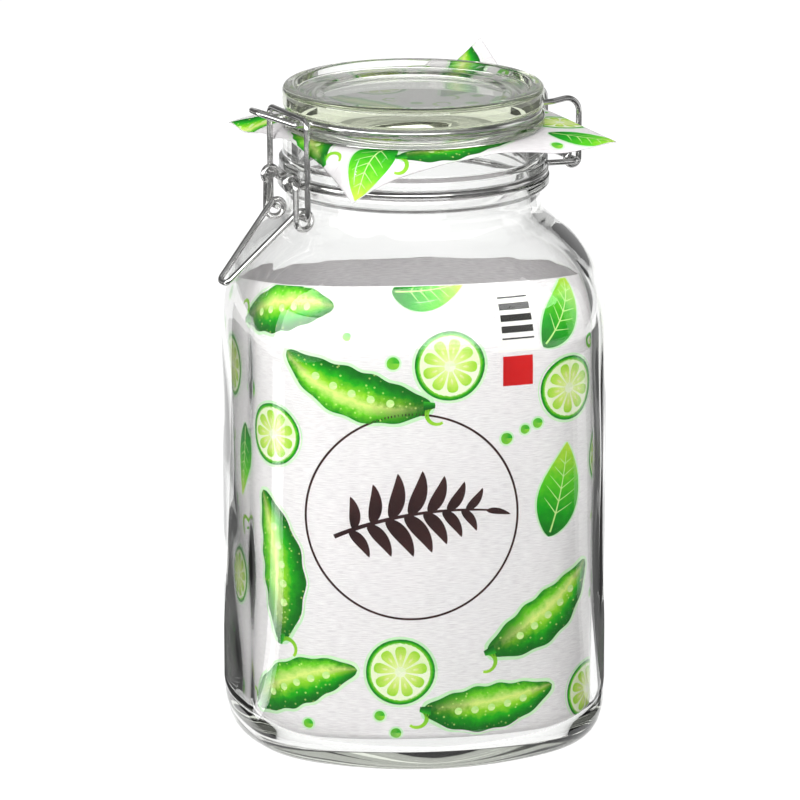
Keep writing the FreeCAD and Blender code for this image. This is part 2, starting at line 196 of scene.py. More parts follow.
# ------------------------------------------------------------------ node helpers
def material(name):
    m = bpy.data.materials.new(name)
    m.use_nodes = True
    nt = m.node_tree
    for n in list(nt.nodes):
        nt.nodes.remove(n)
    out = nt.nodes.new("ShaderNodeOutputMaterial")
    bs = nt.nodes.new("ShaderNodeBsdfPrincipled")
    nt.links.new(bs.outputs[0], out.inputs["Surface"])
    return m, nt, bs, out


def node(nt, kind, **values):
    n = nt.nodes.new(kind)
    for k, v in values.items():
        if hasattr(n, k):
            setattr(n, k, v)
        else:
            n.inputs[k.replace("_", " ")].default_value = v
    return n


def ramp(nt, stops, interp="LINEAR"):
    n = nt.nodes.new("ShaderNodeValToRGB")
    n.color_ramp.interpolation = interp
    e = n.color_ramp.elements
    while len(e) > 1:
        e.remove(e[0])
    e[0].position, e[0].color = stops[0][0], tuple(stops[0][1]) + ((1.0,) if len(stops[0][1]) == 3 else ())
    for p, c in stops[1:]:
        el = e.new(p)
        el.color = tuple(c) + ((1.0,) if len(c) == 3 else ())
    return n


# the gain dims a group's paper and inks as painted shade (1.0 for none); depth deepens the inks; mark ends their
# names
TONE = {"gain": 1.0, "depth": 1.0, "mark": ""}      # set while a group of papers and inks is made


def lin(r, g, b):
    """sRGB 0..255 to linear, deepened by the present depth and dimmed by the present gain, which is painted shade.
    """
    out = []
    for v in (r, g, b):
        v /= 255.0
        v = v / 12.92 if v <= 0.04045 else ((v + 0.055) / 1.055) ** 2.4
        out.append(v ** TONE["depth"] * TONE["gain"])
    return tuple(out)


def noise(nt, coord, scale, detail=3.0, rough=0.55, stretch=None):
    if stretch is not None:
        mp = nt.nodes.new("ShaderNodeMapping")
        mp.inputs["Scale"].default_value = stretch
        nt.links.new(coord, mp.inputs["Vector"])
        coord = mp.outputs[0]
    n = nt.nodes.new("ShaderNodeTexNoise")
    n.inputs["Scale"].default_value = scale
    n.inputs["Detail"].default_value = detail
    n.inputs["Roughness"].default_value = rough
    nt.links.new(coord, n.inputs["Vector"])
    return n


# ------------------------------------------------------------------ materials
def glass_material(name, tint, density, waves):
    m, nt, bs, out = material(name)
    tc = nt.nodes.new("ShaderNodeTexCoord")
    bs.inputs["Transmission Weight"].default_value = 1.0
    bs.inputs["IOR"].default_value = 1.51
    # pressed glass: long soft waves, and a faint film of handling on the surface
    film = noise(nt, tc.outputs["Object"], 28.0, 4.0, 0.6)
    rr = ramp(nt, [(0.45, (0.0, 0.0, 0.0)), (0.8, (0.018, 0.018, 0.018))])
    nt.links.new(film.outputs["Fac"], rr.inputs[0])
    nt.links.new(rr.outputs[0], bs.inputs["Roughness"])
    col = ramp(nt, [(0.3, (0.985, 0.990, 0.987)), (0.75, (1.0, 1.0, 1.0))])
    nt.links.new(film.outputs["Fac"], col.inputs[0])
    nt.links.new(col.outputs[0], bs.inputs["Base Color"])
    wave = noise(nt, tc.outputs["Object"], 22.0, 1.0, 0.4, (1.0, 1.0, 0.45))
    bump = node(nt, "ShaderNodeBump", Strength=waves, Distance=0.001)
    nt.links.new(wave.outputs["Fac"], bump.inputs["Height"])
    nt.links.new(bump.outputs[0], bs.inputs["Normal"])
    ab = nt.nodes.new("ShaderNodeVolumeAbsorption")
    ab.inputs["Color"].default_value = tuple(tint) + (1.0,)
    ab.inputs["Density"].default_value = density
    nt.links.new(ab.outputs[0], out.inputs["Volume"])
    return m


def steel_material():
    m, nt, bs, out = material("bright_wire")
    tc = nt.nodes.new("ShaderNodeTexCoord")
    bs.inputs["Metallic"].default_value = 1.0
    blotch = noise(nt, tc.outputs["Object"], 160.0, 4.0, 0.6)
    col = ramp(nt, [(0.3, lin(196, 196, 194)), (0.7, lin(226, 226, 225))])
    nt.links.new(blotch.outputs["Fac"], col.inputs[0])
    nt.links.new(col.outputs[0], bs.inputs["Base Color"])
    rr = ramp(nt, [(0.25, (0.10, 0.10, 0.10)), (0.8, (0.24, 0.24, 0.24))])
    nt.links.new(blotch.outputs["Fac"], rr.inputs[0])
    nt.links.new(rr.outputs[0], bs.inputs["Roughness"])
    draw = noise(nt, tc.outputs["Object"], 1500.0, 2.0, 0.5)
    bump = node(nt, "ShaderNodeBump", Strength=0.08, Distance=0.0001)
    nt.links.new(draw.outputs["Fac"], bump.inputs["Height"])
    nt.links.new(bump.outputs[0], bs.inputs["Normal"])
    return m


def paper_fibre(nt, bs, flat):
    """Fine ribs across the sheet and a soft fibre grain, from the sheet's own flat coordinates."""
    uv = nt.nodes.new("ShaderNodeUVMap")
    uv.uv_map = "flat"
    rib = noise(nt, uv.outputs[0], 1.0, 3.0, 0.6, (0.25, 3.2, 1.0))
    grain = noise(nt, uv.outputs[0], 5.0, 3.0, 0.6)
    mix = nt.nodes.new("ShaderNodeMath")
    mix.operation = "ADD"
    nt.links.new(rib.outputs["Fac"], mix.inputs[0])
    nt.links.new(grain.outputs["Fac"], mix.inputs[1])
    bump = node(nt, "ShaderNodeBump", Strength=flat, Distance=0.0001)
    nt.links.new(mix.outputs[0], bump.inputs["Height"])
    nt.links.new(bump.outputs[0], bs.inputs["Normal"])
    bs.inputs["Roughness"].default_value = 0.78
    bs.inputs["Specular IOR Level"].default_value = 0.25
    return uv, rib, grain


def paper_material():
    m, nt, bs, out = material("ribbed_paper" + TONE["mark"])
    uv, rib, grain = paper_fibre(nt, bs, 0.5)
    # the paper's own off-white, streaked darker in the rib hollows and lighter on the rib tops as painted shade of
    # the ribs
    col = ramp(nt, [(0.34, lin(224, 220, 222)), (0.5, lin(240, 237, 238)), (0.66, lin(249, 247, 247))])
    nt.links.new(rib.outputs["Fac"], col.inputs[0])
    nt.links.new(col.outputs[0], bs.inputs["Base Color"])
    return m


def print_material(name, stops, axis=0, spread=0.16, speck=None, cell=0.35, ends=None):
    """Watercolour ink. stops run over the shape's own coordinate (0..1), blurred by a wet noise."""
    m, nt, bs, out = material(name + TONE["mark"])
    uv, rib, grain = paper_fibre(nt, bs, 0.4)
    at = nt.nodes.new("ShaderNodeAttribute")
    at.attribute_name = "shape"
    sep = nt.nodes.new("ShaderNodeSeparateXYZ")
    nt.links.new(at.outputs["Vector"], sep.inputs[0])
    wet = noise(nt, uv.outputs[0], cell, 4.0, 0.62)
    ma = nt.nodes.new("ShaderNodeMath")
    ma.operation = "MULTIPLY_ADD"
    ma.inputs[1].default_value = spread * 2.0
    nt.links.new(wet.outputs["Fac"], ma.inputs[0])
    sub = nt.nodes.new("ShaderNodeMath")
    sub.operation = "SUBTRACT"
    sub.inputs[1].default_value = spread
    nt.links.new(sep.outputs[axis], sub.inputs[0])
    nt.links.new(sub.outputs[0], ma.inputs[2])
    col = ramp(nt, stops)
    nt.links.new(ma.outputs[0], col.inputs[0])
    last = col.outputs[0]
    if ends is not None:
        em = nt.nodes.new("ShaderNodeMath")
        em.operation = "MULTIPLY_ADD"
        em.inputs[1].default_value = 0.30
        nt.links.new(wet.outputs["Fac"], em.inputs[0])
        off = nt.nodes.new("ShaderNodeMath")
        off.operation = "SUBTRACT"
        off.inputs[1].default_value = 0.15
        nt.links.new(sep.outputs[0], off.inputs[0])
        nt.links.new(off.outputs[0], em.inputs[2])
        er = ramp(nt, [(0.06, (0.95, 0.95, 0.95)), (0.26, (0.45, 0.45, 0.45)), (0.40, (0, 0, 0)),
                       (0.80, (0, 0, 0)), (0.98, (0.75, 0.75, 0.75))])
        nt.links.new(em.outputs[0], er.inputs[0])
        mx = nt.nodes.new("ShaderNodeMix")
        mx.data_type = "RGBA"
        mx.inputs["B"].default_value = tuple(ends) + (1.0,)
        nt.links.new(er.outputs[0], mx.inputs["Factor"])
        nt.links.new(last, mx.inputs["A"])
        last = mx.outputs["Result"]
    if speck is not None:
        vo = nt.nodes.new("ShaderNodeTexVoronoi")
        vo.inputs["Scale"].default_value = 0.45
        nt.links.new(uv.outputs[0], vo.inputs["Vector"])
        sr = ramp(nt, [(0.10, (1, 1, 1)), (0.22, (0, 0, 0))])
        nt.links.new(vo.outputs["Distance"], sr.inputs[0])
        mx = nt.nodes.new("ShaderNodeMix")
        mx.data_type = "RGBA"
        mx.inputs["B"].default_value = tuple(speck) + (1.0,)
        mm = nt.nodes.new("ShaderNodeMath")
        mm.operation = "MULTIPLY"
        mm.inputs[1].default_value = 0.55
        nt.links.new(sr.outputs[0], mm.inputs[0])
        nt.links.new(mm.outputs[0], mx.inputs["Factor"])
        nt.links.new(last, mx.inputs["A"])
        last = mx.outputs["Result"]
    nt.links.new(last, bs.inputs["Base Color"])
    return m


M_JAR = glass_material("jar_glass_look", (0.86, 0.88, 0.82), 14.0, 0.10)
M_LID = glass_material("lid_glass_look", (0.86, 0.88, 0.80), 32.0, 0.08)
M_STEEL = steel_material()


def paper_and_inks(gain, depth, mark):
    """The sheet's own material and its inks; the inks are deepened by depth, and paper and inks are dimmed by the
    gain as painted shade.
    """
    TONE.update(gain=gain, depth=1.0, mark=mark)
    sheet = paper_material()
    TONE.update(depth=depth)
    inks = {
        "halo": print_material("ink_mint", [(0.0, lin(205, 240, 200)), (1.0, lin(222, 248, 214))], 0, 0.3),
        "pod": print_material("ink_pod", [(0.0, lin(4, 112, 22)), (0.14, lin(6, 138, 26)), (0.30, lin(40, 188, 20)),
                                          (0.48, lin(160, 226, 50)), (0.64, lin(232, 247, 150)),
                                          (0.84, lin(120, 216, 40)), (1.0, lin(16, 150, 26))],
                              1, 0.14, lin(226, 246, 150), 0.35, lin(10, 118, 24)),
        "podtip": print_material("ink_podtip", [(0.0, lin(12, 92, 26)), (0.5, lin(24, 140, 34)), (1.0, lin(60, 188, 44))], 1, 0.2),
        "stem": print_material("ink_stem", [(0.0, lin(120, 200, 40)), (1.0, lin(172, 222, 70))], 0, 0.3),
        "rind": print_material("ink_rind", [(0.0, lin(150, 220, 50)), (0.55, lin(40, 178, 24)), (1.0, lin(6, 120, 24))], 1, 0.3),
        "pith": print_material("ink_pith", [(0.0, lin(236, 248, 206)), (1.0, lin(246, 251, 228))], 0, 0.3),
        "flesh": print_material("ink_flesh", [(0.0, lin(234, 247, 176)), (0.5, lin(214, 240, 120)), (1.0, lin(168, 224, 66))], 1, 0.22),
        "seed": print_material("ink_seed", [(0.0, lin(240, 246, 196)), (1.0, lin(214, 232, 140))], 0, 0.2),
        "leaf": print_material("ink_leaf", [(0.0, lin(6, 124, 26)), (0.3, lin(24, 176, 24)), (0.6, lin(104, 214, 34)), (1.0, lin(206, 238, 84))], 0, 0.2),
        "vein": print_material("ink_vein", [(0.0, lin(198, 240, 150)), (1.0, lin(226, 246, 180))], 0, 0.2),
        "dot": print_material("ink_dot", [(0.0, lin(60, 186, 50)), (1.0, lin(150, 216, 70))], 0, 0.4),
        "brown": print_material("ink_brown", [(0.0, lin(58, 30, 32)), (1.0, lin(78, 48, 46))], 0, 0.3),
        "red": print_material("ink_red", [(0.0, lin(206, 22, 28)), (1.0, lin(222, 34, 34))], 0, 0.3),
        "cream": print_material("ink_cream", [(0.0, lin(247, 246, 240)), (1.0, lin(252, 251, 248))], 0, 0.3),
        "dark": print_material("ink_dark", [(0.0, lin(40, 40, 36)), (1.0, lin(58, 56, 52))], 0, 0.3),
    }
    TONE.update(gain=1.0, depth=1.0, mark="")
    return sheet, inks


M_PAPER, SLEEVE_INKS = paper_and_inks(1.0, 1.16, "")
# the cover's paper and inks at half brightness: painted shade on the cover sheet, which is the same paper as the
# sleeve
M_COVER_PAINTED_SHADE, COVER_INKS_PAINTED_SHADE = paper_and_inks(0.50, 1.12, "_cover_painted_shade")

# ------------------------------------------------------------------ jar glass
N = 288
PHI = np.arange(N) * 2 * math.pi / N


def lumps(z, amp):
    """Slow unevenness of blown wall thickness, mm."""
    return amp * (0.5 * np.sin(3 * PHI + 0.045 * z + 0.7) + 0.35 * np.sin(5 * PHI - 0.06 * z + 2.1)
                  + 0.3 * np.sin(2 * PHI + 0.11 * z) + 0.25 * np.sin(8 * PHI + 0.09 * z + 1.0))


def section(z, a, d, rc):
    return z, square_radius(PHI, a, d, rc)


def jar_mesh():
    rings = [(1.9, None)]
    # underside: pushed up in the middle, standing on a ring
    for f in (0.08, 0.2, 0.35, 0.5, 0.62, 0.72, 0.79, 0.84, 0.88, 0.91, 0.94, 0.965, 0.985, 1.0):
        a = (BODY_A - HEEL_IN_A - 0.4) * f
        rise = 1.9 * (1.0 - min(1.0, f / 0.94) ** 6) if f < 0.94 else 0.0
        rings.append(section(rise, a, a * (BODY_D - HEEL_IN_D) / (BODY_A - HEEL_IN_A), BODY_RC * f))
    for k in range(0, 19):
        psi = math.pi / 2 * (1.0 - k / 18.0)
        t = 1.0 - math.cos(psi)
        z = HEEL_H * (1.0 - math.sin(psi))
        rings.append(section(z, BODY_A - HEEL_IN_A * t, BODY_D - HEEL_IN_D * t, BODY_RC))
    for z in np.linspace(HEEL_H, 150.0, 40)[1:-1]:
        rings.append(section(z, BODY_A, BODY_D, BODY_RC))
    sh = smooth(SHOULDER, 5)
    for z, a in sh:
        w = max(0.0, (a - NECK_R) / (BODY_A - NECK_R))
        rings.append(section(z, a, a + (BODY_D - BODY_A) * w + 1e-3, BODY_RC if w > 0 else 38.0))
    neck = fillet([(NECK_R, 205.6), (NECK_R, 206.3, 0.8), (BEAD_R, 208.0, 1.4), (BEAD_R, 211.9, 0.9),
                   (GROOVE_R, 211.9, 0.5), (GROOVE_R, 214.5, 0.5), (HIGH_BEAD_R, 214.5, 0.9),
                   (HIGH_BEAD_R, 218.0, 1.2), (RIM_R, 219.6, 1.0), (RIM_R, RIM_TOP, 1.4),
                   (MOUTH_R + 0.0, RIM_TOP, 1.1), (MOUTH_R, 204.6)])
    for r, z in refine(neck, 1.2)[1:]:
        rings.append((z, np.full(N, r)))
    inn = smooth(INNER, 5)[::-1]
    for z, a in inn:
        w = max(0.0, (a - MOUTH_R) / (BODY_A - WALL - MOUTH_R))
        zz, r = section(z, a, a + (BODY_D - BODY_A) * w + 1e-3, BODY_RC - WALL)
        rings.append((zz, r + lumps(z, 0.30) * min(1.0, (205.0 - z) / 8.0)))
    a0, d0, r0 = BODY_A - WALL, BODY_D - WALL, BODY_RC - WALL
    for z in np.linspace(150.0, 18.0, 40)[1:-1]:
        zz, r = section(z, a0, d0, r0)
        rings.append((zz, r + lumps(z, 0.30)))
    for k in range(0, 17):
        psi = math.pi / 2 * k / 16.0
        t = 1.0 - math.cos(psi)
        z = BASE_T + 11.0 * (1.0 - math.sin(psi))
        zz, r = section(z, a0 - 5.0 * t, d0 - 10.0 * t, r0)
        rings.append((zz, r + lumps(z, 0.30)))
    for f in (0.97, 0.93, 0.87, 0.78, 0.66, 0.52, 0.38, 0.24, 0.1):
        a = (a0 - 5.0) * f
        zz, r = section(BASE_T + 1.0 * (1 - f ** 3), a, a * (d0 - 10.0) / (a0 - 5.0), r0 * f)
        rings.append((zz, r))
    rings.append((BASE_T + 1.0, None))
    return lathe_rings(rings, N, "jar_body", M_JAR)


jar = jar_mesh()
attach(jar, "jar")
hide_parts("jar_glass")


# ------------------------------------------------------------------ lid glass
def lid_mesh():
    top = TOTAL_H
    outline = fillet([(0.0, top - 3.4), (33.2, top - 3.4, 0.8), (34.6, top - 2.5, 0.8), (42.4, top - 2.5, 1.4),
                      (44.2, top, 1.4), (48.5, top, 2.6), (48.5, 236.9, 1.4), (45.4, 236.9, 0.4),
                      (45.4, 234.3, 0.4), (48.9, 234.3, 1.2), (48.9, 229.9, 1.4), (40.6, 229.9, 1.2),
                      (37.6, 236.5, 3.0), (0.0, 236.5)])
    pts = refine(outline, 1.6)
    rings = [(pts[0][1], None)]
    for r, z in pts[1:-1]:
        if r > 0.2:
            rings.append((z, np.full(N, r)))
    rings.append((pts[-1][1], None))
    return lathe_rings(rings[::-1], N, "lid_disc", M_LID)


lid = lid_mesh()
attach(lid, "lid")
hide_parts("lid_glass")

# ------------------------------------------------------------------ steel wire
for name in ("neck_wire", "lid_wire", "latch_lever", "latch_link"):
    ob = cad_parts[name]
    ob.data.materials.clear()
    ob.data.materials.append(M_STEEL)


# ------------------------------------------------------------------ the sleeve as a flat sheet
def wall_at(z, gap):
    """(a, d, rc) of the inner wall at height z."""
    a0, d0, r0 = BODY_A - WALL - gap, BODY_D - WALL - gap, BODY_RC - WALL - gap
    if z < 18.0:
        f = max(0.0, (z - BASE_T) / 11.0)
        t = 1.0 - math.sqrt(max(0.0, 1.0 - (1.0 - f) ** 2))
        return a0 - 5.0 * t, d0 - 10.0 * t, r0
    if z <= 150.0:
        return a0, d0, r0
    a = float(np.interp(z, INNER_Z, INNER_A))
    w = max(0.0, (a - MOUTH_R) / (BODY_A - WALL - MOUTH_R))
    return a - gap, a - gap + (BODY_D - BODY_A) * w + 1e-3, r0


_t = smooth(INNER, 8)
INNER_Z, INNER_A = _t[:, 0], _t[:, 1]
F_PHI = np.linspace(-math.pi, math.pi, 721)
_r = square_radius(F_PHI, BODY_A - WALL - SLEEVE_GAP, BODY_D - WALL - SLEEVE_GAP, BODY_RC - WALL - SLEEVE_GAP)
_x, _y = _r * np.cos(F_PHI), _r * np.sin(F_PHI)
_arc = np.concatenate([[0.0], np.cumsum(np.hypot(np.diff(_x), np.diff(_y)))])
F_ARC = _arc - _arc[360]
HALF_ROUND = F_ARC[-1]
_zz = np.linspace(10.0, 192.0, 365)
_aa = np.array([wall_at(z, SLEEVE_GAP)[0] for z in _zz])
_pl = np.concatenate([[0.0], np.cumsum(np.hypot(np.diff(_zz), np.diff(_aa)))])
F_PATH = _pl - np.interp(80.0, _zz, _pl) + 80.0      # v equals z on the straight wall
SLOPE = math.tan(math.radians(SLEEVE_SLOPE))


def top_z(phi):
    z = 175.0
    for _ in range(25):
        a, d, rc = wall_at(z, SLEEVE_GAP)
        r = float(square_radius(np.array([phi]), a, d, rc)[0])
        z = 0.5 * z + 0.5 * (SLEEVE_MID_TOP + SLOPE * r * math.cos(phi))
    return z


T_PHI = np.linspace(-math.pi, math.pi, 145)
T_Z = np.array([top_z(p) for p in T_PHI])


def sleeve_place(u, v, off, trim=0.0):
    """Flat sheet (u, v) in mm, u = 0 at the middle of the front face, to the curved sleeve."""
    u = (u + HALF_ROUND) % (2 * HALF_ROUND) - HALF_ROUND
    phi = float(np.interp(u, F_ARC, F_PHI))
    z = float(np.interp(v, F_PATH, _zz))
    hi = float(np.interp(phi, T_PHI, T_Z)) - trim
    lo = SLEEVE_BOT + trim
    cut = z > hi or z < lo
    z = min(max(z, lo), hi)
    a, d, rc = wall_at(z, SLEEVE_GAP - off)
    r = float(square_radius(np.array([phi]), a, d, rc)[0])
    return (r * math.cos(FRONT + phi) * MM, r * math.sin(FRONT + phi) * MM, z * MM), cut


def sleeve_mesh():
    n, m = 240, 90
    verts, uvs = [], []
    thick = 0.3
    phis = -math.pi + 2 * math.pi * np.arange(n) / n
    for side in (0, 1):
        for j in range(m + 1):
            for i in range(n):
                phi = phis[i]
                lo, hi = SLEEVE_BOT, float(np.interp(phi, T_PHI, T_Z))
                s = j / m
                z = lo + (hi - lo) * (1 - (1 - s) ** 1.25)
                a, d, rc = wall_at(z, SLEEVE_GAP + (thick if side else 0.0))
                verts.append((phi, z, a, d, rc))
    arr = np.array(verts)
    out = np.zeros((len(arr), 3))
    rr = np.zeros(len(arr))
    for idx in range(len(arr)):
        phi, z, a, d, rc = arr[idx]
        rr[idx] = square_radius(phi, a, d, rc)
    out[:, 0] = rr * np.cos(FRONT + arr[:, 0]) * MM
    out[:, 1] = rr * np.sin(FRONT + arr[:, 0]) * MM
    out[:, 2] = arr[:, 1] * MM
    faces = []
    base = (m + 1) * n
    for j in range(m):
        for i in range(n):
            k = (i + 1) % n
            faces.append((j * n + i, j * n + k, (j + 1) * n + k, (j + 1) * n + i))
            faces.append((base + j * n + k, base + j * n + i, base + (j + 1) * n + i, base + (j + 1) * n + k))
    for i in range(n):
        k = (i + 1) % n
        faces.append((i, base + i, base + k, k))
        faces.append((m * n + i, m * n + k, base + m * n + k, base + m * n + i))
    ob = new_object("sleeve_sheet", out, faces, M_PAPER)
    uvl = ob.data.uv_layers.new(name="flat")
    u_of = np.interp(arr[:, 0], F_PHI, F_ARC)
    loops = np.zeros(len(ob.data.loops), int)
    ob.data.loops.foreach_get("vertex_index", loops)
    uu = u_of[loops]
    # the seam's last column belongs to the far end of the sheet
    for p in ob.data.polygons:
        ids = list(p.loop_indices)
        us = [uu[i] for i in ids]
        if max(us) - min(us) > HALF_ROUND:
            for i in ids:
                if uu[i] < 0:
                    uu[i] += 2 * HALF_ROUND
    co = np.stack([uu, arr[loops, 1]], 1).astype(np.float32)
    uvl.data.foreach_set("uv", co.ravel())
    return ob


sleeve = sleeve_mesh()
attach(sleeve, "jar")
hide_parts("paper_sleeve")


# ------------------------------------------------------------------ the cover as a flat sheet
def bend_slopes():
    n = len(COVER_BEND) - 1
    out = []
    for j in range(n):
        xa, ya = COVER_BEND[j - 1] if j else COVER_BEND[n - 1]
        xj, yj = COVER_BEND[j]
        xb, yb = COVER_BEND[j + 1]
        if xa >= xj:
            xa -= 360.0
        m0, m1 = (yj - ya) / (xj - xa), (yb - yj) / (xb - xj)
        out.append(0.0 if m0 * m1 <= 0.0 else 2.0 * m0 * m1 / (m0 + m1))
    return out


BEND_SLOPE = bend_slopes()


def bend_at(deg):
    n = len(COVER_BEND) - 1
    deg = deg % 360.0
    for i in range(n):
        if deg <= COVER_BEND[i + 1][0]:
            break
    x0, y0 = COVER_BEND[i]
    x1, y1 = COVER_BEND[i + 1]
    h = x1 - x0
    t = (deg - x0) / h
    m0, m1 = BEND_SLOPE[i], BEND_SLOPE[(i + 1) % n]
    return ((2 * t ** 3 - 3 * t ** 2 + 1) * y0 + (t ** 3 - 2 * t ** 2 + t) * h * m0
            + (-2 * t ** 3 + 3 * t ** 2) * y1 + (t ** 3 - t ** 2) * h * m1)


def cover_flat(p, q):
    ct, st = math.cos(COVER_TURN), math.sin(COVER_TURN)
    x, y = p * ct - q * st + COVER_CX, p * st + q * ct + COVER_CY
    r = math.hypot(x, y)
    free = r - COVER_FREE_R
    if free <= 0.0:
        return np.array([x, y, COVER_Z])
    k = bend_at(math.degrees(math.atan2(y, x)))
    if abs(k) < 1e-6:
        k = 1e-6
    arc = min(free, COVER_BEND_L)
    rest = free - arc
    out = COVER_FREE_R + math.sin(k * arc) / k + math.cos(k * arc) * rest
    z = COVER_Z - (1.0 - math.cos(k * arc)) / k - math.sin(k * arc) * rest
    return np.array([out * x / r, out * y / r, z])


def cover_place(u, v, off, trim=0.0):
    h = COVER_HALF - trim
    cut = abs(u) > h or abs(v) > h
    u, v = min(max(u, -h), h), min(max(v, -h), h)
    e = 0.05
    du = cover_flat(u + e, v) - cover_flat(u - e, v)
    dv = cover_flat(u, v + e) - cover_flat(u, v - e)
    n = np.cross(du, dv)
    n /= np.linalg.norm(n)
    p = cover_flat(u, v) + n * off
    return tuple(p * MM), cut


def cover_mesh():
    n = 150
    at = np.linspace(-COVER_HALF, COVER_HALF, n)
    verts, uvs = [], []
    for off in (0.08, 0.30):
        for p in at:
            for q in at:
                verts.append(cover_place(p, q, off)[0])
                uvs.append((p, q))
    faces = []
    b = n * n
    for i in range(n - 1):
        for j in range(n - 1):
            faces.append((i * n + j, i * n + j + 1, (i + 1) * n + j + 1, (i + 1) * n + j))
            faces.append((b + i * n + j, b + (i + 1) * n + j, b + (i + 1) * n + j + 1, b + i * n + j + 1))
    rim = [i * n for i in range(n)] + [(n - 1) * n + j for j in range(1, n)]
    rim += [i * n + n - 1 for i in range(n - 2, -1, -1)] + [j for j in range(n - 2, 0, -1)]
    for a, c in zip(rim, rim[1:] + rim[:1]):
        faces.append((a, c, b + c, b + a))
    # the cover sheet takes the half-bright paper, which is painted shade
    ob = new_object("cover_sheet", verts, faces, M_COVER_PAINTED_SHADE)
    uvl = ob.data.uv_layers.new(name="flat")
    loops = np.zeros(len(ob.data.loops), int)
    ob.data.loops.foreach_get("vertex_index", loops)
    uvl.data.foreach_set("uv", np.array(uvs, np.float32)[loops].ravel())
    return ob


cover = cover_mesh()
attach(cover, "jar")
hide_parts("cover_paper")


# ------------------------------------------------------------------ printed shapes
class Print:
    """Collects flat shapes by ink and lays them on a sheet as thin printed skins."""

    def __init__(self, name, place, trim, inks):
        self.name, self.place, self.trim, self.inks = name, place, trim, inks
        self.groups = {}
        self.layer = 0

    def grid(self, ink, pts, attr, lift):
        """pts and attr are (rows, cols, 2) arrays: flat place, and the shape's own coordinates."""
        verts, faces, att, uvs = self.groups.setdefault(ink, ([], [], [], []))
        rows, cols = pts.shape[:2]
        base = len(verts)
        cuts = []
        for i in range(rows):
            for j in range(cols):
                u, v = float(pts[i, j, 0]), float(pts[i, j, 1])
                p, cut = self.place(u, v, lift, self.trim)
                verts.append(p)
                cuts.append(cut)
                att.append((float(attr[i, j, 0]), float(attr[i, j, 1]), 0.0))
                uvs.append((u, v))
        for i in range(rows - 1):
            for j in range(cols - 1):
                ids = (i * cols + j, i * cols + j + 1, (i + 1) * cols + j + 1, (i + 1) * cols + j)
                if all(cuts[k] for k in ids):
                    continue
                faces.append(tuple(base + k for k in ids))

    def ribbon(self, ink, path, width, lift, n=40, m=6, skew=0.0):
        """A band along path(s) with half width width(s)."""
        s = np.linspace(0.0, 1.0, n + 1)
        c = np.array([path(x) for x in s])
        t = np.gradient(c, axis=0)
        t /= np.maximum(np.linalg.norm(t, axis=1), 1e-9)[:, None]
        nr = np.stack([-t[:, 1], t[:, 0]], 1)
        pts = np.zeros((n + 1, m + 1, 2))
        att = np.zeros((n + 1, m + 1, 2))
        for i in range(n + 1):
            w = width(s[i])
            for j in range(m + 1):
                f = -1.0 + 2.0 * j / m
                pts[i, j] = c[i] + nr[i] * w * f
                att[i, j] = (s[i], 0.5 + 0.5 * f)
        self.grid(ink, pts, att, lift)

    def disc(self, ink, c, r0, r1, lift, a0=0.0, a1=2 * math.pi, n=36, m=3, round_=0.0, wob=0.0, seed=0.0):
        pts = np.zeros((m + 1, n + 1, 2))
        att = np.zeros((m + 1, n + 1, 2))
        for i in range(m + 1):
            f = i / m
            for j in range(n + 1):
                a = a0 + (a1 - a0) * j / n
                k = 1.0 + wob * (math.sin(3 * a + seed) + 0.6 * math.sin(5 * a + 2 * seed))
                r = (r0 + (r1 - r0) * f) * k
                pts[i, j] = (c[0] + r * math.cos(a), c[1] + r * math.sin(a))
                att[i, j] = (j / n, f)
        self.grid(ink, pts, att, lift)

    def build(self, body):
        for ink, (verts, faces, att, uvs) in sorted(self.groups.items()):
            ob = new_object("%s_%s" % (self.name, ink), verts, faces, self.inks[ink])
            me = ob.data
            if len(me.vertices) == len(verts):
                a = me.attributes.new("shape", "FLOAT_VECTOR", "POINT")
                a.data.foreach_set("vector", np.array(att, np.float32).ravel())
            uvl = me.uv_layers.new(name="flat")
            loops = np.zeros(len(me.loops), int)
            me.loops.foreach_get("vertex_index", loops)
            uvl.data.foreach_set("uv", np.array(uvs, np.float32)[loops].ravel())
            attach(ob, body)


def arc_path(c, length, heading, bend):
    """Centre line of a curved pod through c; bend is its whole turn in radians."""
    def at(s):
        x = (s - 0.5) * length
        if abs(bend) < 1e-4:
            lx, ly = x, 0.0
        else:
            r = length / bend
            a = x / r
            lx, ly = r * math.sin(a), r * (1 - math.cos(a)) - r * (1 - math.cos(bend / 2)) * 0.5
        ch, sh = math.cos(heading), math.sin(heading)
        return (c[0] + lx * ch - ly * sh, c[1] + lx * sh + ly * ch)
    return at


L1, L2, L3, L4 = 0.03, 0.06, 0.09, 0.12


